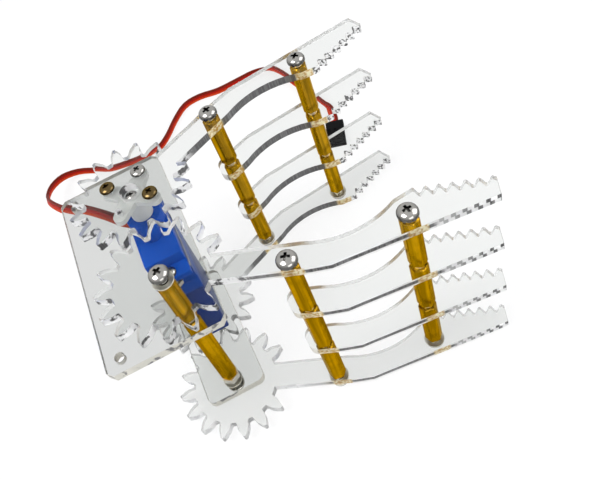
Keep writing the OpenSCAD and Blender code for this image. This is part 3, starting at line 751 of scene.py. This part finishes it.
class GRIPPER_OT_stage(bpy.types.Operator):
    """Adds the camera, the pale floor, the white surroundings and the soft lamps"""

    bl_idname = "gripper.stage"
    bl_label = "Stage and lamps"

    LENS, SENSOR = 45.37, 36.0    # millimetres
    SHIFT = (0.0726, -0.1489)
    PLACE, AIM = Vector((0.04913, -0.15523, 0.18371)), Vector((0.06269, 0.01089, 0.00666))
    ROLL = -23.42

    # Name, place, size and power
    LAMPS = (("Key lamp", (-0.45, -0.1, 0.75), 0.5, 7.0),
             ("Fill lamp", (0.7, -0.15, 0.5), 0.6, 4.0),
             ("Front lamp", (0.1, -0.75, 0.3), 0.5, 2.5))

    def execute(self, context):
        scene = context.scene
        scene.view_settings.view_transform = "Standard"
        self.camera(scene)
        self.floor(scene)
        self.surroundings(scene)
        for name, place, size, power in self.LAMPS:
            self.lamp(scene, name, place, size, power)
        return {"FINISHED"}

    def camera(self, scene):
        data = bpy.data.cameras.new("Camera")
        data.lens, data.sensor_width = self.LENS, self.SENSOR
        data.shift_x, data.shift_y = self.SHIFT
        data.clip_start, data.clip_end = 0.01, 10.0
        camera = bpy.data.objects.new("Camera", data)
        scene.collection.objects.link(camera)
        scene.camera = camera
        camera.location = self.PLACE
        camera.rotation_mode = "QUATERNION"
        roll = Quaternion((0, 0, 1), math.radians(self.ROLL))
        camera.rotation_quaternion = (self.AIM - self.PLACE).to_track_quat("-Z", "Y") @ roll

    def floor(self, scene):
        bm = bmesh.new()
        table = Matrix.Translation((0, 0, CAD_BOX[0][2]))
        bmesh.ops.create_grid(bm, x_segments=1, y_segments=1, size=3.0, matrix=table)
        mesh = bpy.data.meshes.new("Floor")
        bm.to_mesh(mesh)
        bm.free()
        floor = bpy.data.objects.new("Floor", mesh)
        scene.collection.objects.link(floor)
        material, t, shader = plain_base("Pale floor", Base_Color=(0.86, 0.86, 0.86, 1), Roughness=0.8)
        white = t.add("ShaderNodeEmission").outputs[0]
        own_white = 0.8    # what is left shows the light and the shadow that fall there
        shown = t.blend_shader(t.maths("MULTIPLY", self.seen(t), own_white), shader.outputs[0], white)
        t.join(shown, material.node_tree.nodes["Material Output"].inputs[0])
        mesh.materials.append(material)

    def surroundings(self, scene):
        world = bpy.data.worlds.new("Surroundings")
        scene.world = world
        world.use_nodes = True
        t = Tree(world.node_tree)
        lit = t.put(world.node_tree.nodes["Background"], Color=(0.92, 0.95, 1.0, 1), Strength=0.45)
        white = t.put(t.add("ShaderNodeBackground"), Color=(1, 1, 1, 1), Strength=1.0)
        shown = t.blend_shader(self.seen(t), lit.outputs[0], white.outputs[0])
        t.join(shown, world.node_tree.nodes["World Output"].inputs[0])

    def seen(self, t):
        """1 for a ray from the camera or on from gloss or glass, and 0 for light that falls on the part."""
        path = t.add("ShaderNodeLightPath").outputs
        bounced = t.maths("MAXIMUM", path["Is Glossy Ray"], path["Is Transmission Ray"])
        return t.maths("MAXIMUM", path["Is Camera Ray"], bounced)

    def lamp(self, scene, name, place, size, power):
        data = bpy.data.lights.new(name, "AREA")
        data.size, data.energy = size, power
        lamp = bpy.data.objects.new(name, data)
        lamp.location = place
        lamp.rotation_mode = "QUATERNION"
        lamp.rotation_quaternion = (PIVOTS - Vector(place)).to_track_quat("-Z", "Y")
        scene.collection.objects.link(lamp)


class GRIPPER_OT_cable(bpy.types.Operator):
    """Makes the flat three-wire cable, its boot and its connector"""

    bl_idname = "gripper.cable"
    bl_label = "Cable"

    SIDES = 6    # points over the top of each wire
    STEPS = 3    # steps between two points of the route
    LEAN = 11    # points over which the ribbon turns from flat, at the servo, to standing on edge
    FLAT = 4     # points before the connector over which it turns flat again

    def execute(self, context):
        pitch = sizes().wire_pitch
        path = [PIVOTS + point for point in smooth_route(ROUTE, self.STEPS)]
        bm = bmesh.new()
        rings = [self.ring(bm, path, i, pitch) for i in range(len(path))]
        for first, second in zip(rings, rings[1:]):
            for k in range(len(first)):
                after = (k + 1) % len(first)
                face = bm.faces.new((first[k], first[after], second[after], second[k]))
                face.material_index = self.wire_at(k)
        for ring in (rings[0], rings[-1]):
            bm.faces.new(ring)
        cable = keep("ribbon_cable", bm, ("Orange wire", "Red wire", "Brown wire"), BASE,
                     "servo_cable", 60.0)
        housing = self.connector()
        self.boot()
        return {"FINISHED"}

    def outline(self, pitch):
        """Three joined round wires, as (across, thickness) points round the ribbon."""
        top = []
        for wire, start, end in ((-1, 180, 30), (0, 150, 30), (1, 150, 0)):
            for k in range(self.SIDES):
                angle = math.radians(start + (end - start) * k / (self.SIDES - 1))
                top.append((pitch * (wire + 0.5 * math.cos(angle)), pitch * 0.5 * math.sin(angle)))
        bottom = [(x, -y) for x, y in reversed(top[1:-1])]
        return top + bottom

    def wire_at(self, k):
        """Which wire side k of the outline belongs to."""
        tops = 3 * self.SIDES
        if k < tops:
            return min(2, k // self.SIDES)
        return min(2, (2 * tops - 2 - k) // self.SIDES)

    def ring(self, bm, path, i, pitch):
        """Vertices round the ribbon at point i, turned on edge after the servo and flat at the connector."""
        ahead = (path[min(i + 1, len(path) - 1)] - path[max(i - 1, 0)]).normalized()
        side = ahead.cross(Vector((0, 0, 1))).normalized()
        up = side.cross(ahead)
        along = i / self.STEPS
        lean = max(0.0, min(1.0, 1 - (along - 1) / self.LEAN))
        flat = max(0.0, min(1.0, (along - len(ROUTE) + 1 + self.FLAT) / (self.FLAT - 1)))
        turn = math.radians(90.0 * (flat - lean))
        thin = side * math.cos(turn) + up * math.sin(turn)
        wide = up * math.cos(turn) - side * math.sin(turn)
        return [bm.verts.new(path[i] + wide * x + thin * y) for x, y in self.outline(pitch)]

    def connector(self):
        """A three-way crimp housing, with a window over each contact, a hole for each pin and side grips."""
        length, width, thick = 0.014, 0.0076, 0.0025
        contact_pitch, window_depth, hole_depth = 0.00254, 0.0005, 0.009
        window, hole, grip = 0.0006, 0.00055, 0.0003    # half of each one's width
        window_ends = (length * 0.32, length * 0.58)
        grip_ends = (length * 0.7, length * 0.76)
        heading = Vector(ROUTE[-1]) - Vector(ROUTE[-2])
        turn = math.atan2(heading.y, heading.x)
        end = PIVOTS + Vector((ROUTE[-1][0], ROUTE[-1][1], 0))
        bm, cutter = bmesh.new(), bmesh.new()
        add_box(bm, (0, -width / 2, 0), (length, width / 2, thick), 0.0002)
        for y in (-contact_pitch, 0.0, contact_pitch):
            add_box(cutter, (window_ends[0], y - window, thick - window_depth),
                    (window_ends[1], y + window, thick + PAST))
            add_box(cutter, (length - hole_depth, y - hole, thick / 2 - hole),
                    (length + PAST, y + hole, thick / 2 + hole))
        for y in (-width / 2, width / 2):
            add_box(cutter, (grip_ends[0], y - grip, -PAST), (grip_ends[1], y + grip, thick + PAST))
        bm = cut_out(bm, cutter)
        place = Matrix.Translation(end) @ Matrix.Rotation(turn, 4, "Z")
        bmesh.ops.transform(bm, matrix=place, verts=bm.verts)
        return keep("connector_housing", bm, ("Black housing",), BASE, "cable_connector")

    def boot(self):
        _, low, high = middle("cable_boot")
        bm = bmesh.new()
        add_box(bm, low, high, 0.0003, 3)
        keep("cable_boot_finished", bm, ("Black housing",), BASE, "cable_boot")


class GRIPPER_OT_plates(bpy.types.Operator):
    """Gives the laser-cut plates clear polished faces and frosted edges"""

    bl_idname = "gripper.plates"
    bl_label = "Clear plates"

    def execute(self, context):
        owners = {"driven": (DRIVEN, "far finger"), "idler": (IDLER, "near finger")}
        for node in CLEAR_PLATES:
            body, edge = owners.get(node.split("_")[0], (BASE, "base"))
            # The base plate and the lowest gear plates take the darker faces, which are painted shade
            face = "Polished acrylic, painted shade, base" if node == "base_plate" else "Polished acrylic"
            if node.endswith("bottom_gear_plate"):
                face = "Polished acrylic, painted shade, low"
            bm = bmesh.new()
            bm.from_mesh(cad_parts[node].data)
            bmesh.ops.remove_doubles(bm, verts=bm.verts, dist=MERGE)
            bm.normal_update()
            for side in bm.faces:
                side.material_index = 1 if abs(side.normal.z) < 0.5 else 0
            keep(node + "_finished", bm, (face, "Cut edge, " + edge), body, node)
        return {"FINISHED"}


class GRIPPER_OT_standoffs(bpy.types.Operator):
    """Makes the brass hex standoffs, with chamfered ends and the studs that join them through the plates"""

    bl_idname = "gripper.standoffs"
    bl_label = "Standoffs"

    STUD_CHAMFER = 0.0003
    SHORTEST_STUD = 0.001
    BORE_DEPTH = 0.008

    def execute(self, context):
        # The turn of a column's lowest standoff, and of each one above it from the one below
        for body, start, turn, step in ((DRIVEN, "driven", 12.0, -4.0), (IDLER, "idler", -12.0, -9.0)):
            for place in ("inner", "tip"):
                node = f"{start}_{place}_standoffs"
                parts = []
                for k, (centre, low, high) in enumerate(islands(node)):
                    bottom = high.z - self.length()
                    parts.append(self.standoff(centre, bottom, high.z, low.z, turn + step * k))
                keep(node + "_finished", merged(parts), ("Drawn brass",), body, node)
        for node, long in (("upper_pivot_standoff", False), ("lower_pivot_standoff", True)):
            centre, low, high = middle(node)
            bottom = low.z if long else high.z - self.length()
            bar = self.standoff(centre, bottom, high.z, low.z, 15.0)
            keep(node + "_finished", merged([bar]), ("Drawn brass",), BASE, node)
        return {"FINISHED"}

    def length(self):
        """Height of a finger standoff: the lowest one has no stud."""
        return min(high.z - low.z for _, low, high in islands("driven_inner_standoffs"))

    def standoff(self, centre, bottom, top, stud_end, turn):
        """A hex bar with a bore in its top, and a stud below it if stud_end is lower than bottom."""
        bm, cutter = bmesh.new(), bmesh.new()
        bottom, top = bottom + sizes().seat_gap, top - sizes().seat_gap
        across_corners = HEX_FLATS / math.cos(math.radians(30))
        add_bar(bm, centre, bottom, top, across_corners / 2, 6, turn + 30.0, sizes().standoff_chamfer,
                corner=HEX_CORNER)
        if bottom - stud_end > self.SHORTEST_STUD:
            add_bar(bm, centre, stud_end, bottom, THREAD, 24, chamfer=self.STUD_CHAMFER)
        add_bar(cutter, centre, top - self.BORE_DEPTH, top + PAST, BORE, 24)
        return cut_out(bm, cutter)


class GRIPPER_OT_screws(bpy.types.Operator):
    """Makes the screws with cross recesses, the nuts and the washers"""

    bl_idname = "gripper.screws"
    bl_label = "Screws"

    def execute(self, context):
        for node, body, up, turn in (
                ("driven_top_screws", DRIVEN, 1.0, 20.0), ("driven_bottom_screws", DRIVEN, -1.0, 50.0),
                ("idler_top_screws", IDLER, 1.0, 65.0), ("idler_bottom_screws", IDLER, -1.0, 10.0),
                ("upper_pivot_screw", BASE, 1.0, 35.0), ("lower_pivot_screw", BASE, -1.0, 5.0),
                ("driven_pivot_screw", BASE, -1.0, 75.0)):
            # Screws that face down, under the plates, take the lighter steel, which is painted light
            material = "Plated steel" if up > 0 else "Bright steel, painted light"
            screws_for(node, body, material, MAIN_SCREW, up, turn)
        horn_screw = (sizes().horn_head, *SMALL_SCREW[1:])
        for node, body, slot, material, size, turn in (
                ("horn_brass_screws", DRIVEN, "brass", "Dark brass", horn_screw, 12.0),
                ("horn_steel_screw", DRIVEN, "steel", "Plated steel", horn_screw, 40.0),
                ("horn_centre_screw", DRIVEN, "steel", "Plated steel", SMALL_SCREW, 5.0),
                ("servo_mount_screws", BASE, "steel", "Plated steel", SMALL_SCREW, 30.0)):
            screws_for(node, body, material, size, 1.0, turn)
        for node, body, bore, sides in (
                ("pivot_washers", BASE, 0.00175, 48), ("driven_washers", DRIVEN, 0.00175, 48),
                ("idler_washers", IDLER, 0.00175, 48), ("lower_pivot_nut", BASE, 0.00152, 6),
                ("servo_mount_nuts", BASE, 0.00102, 6)):
            rings_for(node, body, bore, sides)
        dress("servo_case_screws", "Plated steel")
        dress("connector_contacts", "Drawn brass")
        return {"FINISHED"}


class GRIPPER_OT_servo(bpy.types.Operator):
    """Makes the servo's moulded case, its block below, its output shaft and its horn"""

    bl_idname = "gripper.servo"
    bl_label = "Servo"

    TAB = 0.0025                   # thickness of the two tabs
    TAB_HOLE = 0.0011              # radius of the screw hole in a tab
    TAB_SLOT = (0.0031, 0.0006)    # reach of its open slot from the hole, and half of its width
    TOWER, TOWER_HEIGHT = 0.0058, 0.004
    LOBE, LOBE_OFFSET = 0.0028, 0.0064
    SHAFT_HOLE = 0.00247
    BOOT_GAP = 0.00002

    def execute(self, context):
        rounding = sizes().case_rounding
        _, low, high = middle("servo_pedestal")
        bm = bmesh.new()
        add_box(bm, low, high - Vector((0, 0, sizes().seat_gap)), rounding * 1.5, 3)
        keep("servo_pedestal_finished", bm, ("Dark blue plastic",), BASE, "servo_pedestal")
        for node, make in (("servo_case_bottom", self.bottom), ("servo_case_middle", self.case),
                           ("servo_case_top", self.cover)):
            keep(node + "_finished", make(rounding), ("Blue servo plastic",), BASE, node)
        dress("servo_output_shaft", "White nylon")
        dress("servo_horn", "White nylon")
        return {"FINISHED"}

    def bottom(self, rounding):
        _, low, high = middle("servo_case_bottom")
        _, boot_low, boot_high = middle("cable_boot")
        gap = self.BOOT_GAP
        bm, cutter = bmesh.new(), bmesh.new()
        add_box(bm, low, high, rounding, 3)
        add_box(cutter, boot_low - Vector((gap, gap, gap)), boot_high + Vector((gap, PAST, gap)))
        return cut_out(bm, cutter)

    def case(self, rounding):
        _, low, high = middle("servo_case_middle")
        _, cover_low, cover_high = middle("servo_case_top")
        tab_low = middle("base_plate")[2].z
        below, above = tab_low - PAST, tab_low + 0.004
        reach, half = self.TAB_SLOT
        bm, cutter = bmesh.new(), bmesh.new()
        add_box(bm, (low.x, cover_low.y, low.z), (high.x, cover_high.y, high.z), rounding, 3)
        add_box(bm, (low.x, low.y, tab_low), (high.x, high.y, tab_low + self.TAB), rounding, 3)
        for centre, _, _ in islands("servo_mount_screws"):
            add_bar(cutter, centre, below, above, self.TAB_HOLE, 24)
            outward = math.copysign(reach, centre.y - (cover_low.y + cover_high.y) / 2)
            ys = sorted((centre.y, centre.y + outward))
            add_box(cutter, (centre.x - half, ys[0], below), (centre.x + half, ys[1], above))
        return cut_out(bm, cutter)

    def cover(self, rounding):
        _, low, high = middle("servo_case_top")
        shaft = middle("servo_output_shaft")[0]
        deck = high.z - self.TOWER_HEIGHT
        bm, cutter = bmesh.new(), bmesh.new()
        add_box(bm, low, (high.x, high.y, deck), rounding, 3)

        # The round tower over the shaft, and its lobe
        for radius, sides, offset in ((self.TOWER, 48, 0.0), (self.LOBE, 32, self.LOBE_OFFSET)):
            centre = (shaft.x, shaft.y - offset)
            add_bar(bm, centre, deck - PAST, high.z, radius, sides, 0.0, rounding, 2, True)
        add_bar(cutter, shaft, deck - 2 * PAST, high.z + PAST, self.SHAFT_HOLE, 48)
        bm = cut_out(bm, cutter)

        # The cut leaves the level top of tower and lobe split up; this makes whole faces of it again
        bmesh.ops.dissolve_limit(bm, angle_limit=math.radians(0.2), verts=bm.verts, edges=bm.edges)
        return bm


OPERATORS = (GRIPPER_OT_stage, GRIPPER_OT_cable, GRIPPER_OT_plates, GRIPPER_OT_standoffs, GRIPPER_OT_screws,
             GRIPPER_OT_servo)


class GRIPPER_PT_panel(bpy.types.Panel):
    """Lists the steps and the values that they use"""

    bl_idname = "GRIPPER_PT_panel"
    bl_label = "Two Finger Gripper"
    bl_space_type = "VIEW_3D"
    bl_region_type = "UI"
    bl_category = "Gripper"

    def draw(self, context):
        for operator in OPERATORS:
            self.layout.operator(operator.bl_idname)
        for group in (context.scene.gripper_sizes, context.scene.gripper_colours):
            box = self.layout.box()
            for name in group.__annotations__:
                box.prop(group, name)


CLASSES = (GripperSizes, GripperColours) + OPERATORS + (GRIPPER_PT_panel,)


def register():
    for item in CLASSES:
        bpy.utils.register_class(item)
    bpy.types.Scene.gripper_sizes = bpy.props.PointerProperty(type=GripperSizes)
    bpy.types.Scene.gripper_colours = bpy.props.PointerProperty(type=GripperColours)


def unregister():
    del bpy.types.Scene.gripper_colours
    del bpy.types.Scene.gripper_sizes
    for item in reversed(CLASSES):
        bpy.utils.unregister_class(item)


def main():
    register()
    make_finishes()
    for operator in OPERATORS:
        _, name = operator.bl_idname.split(".")
        getattr(bpy.ops.gripper, name)()


if __name__ == "__main__":
    main()
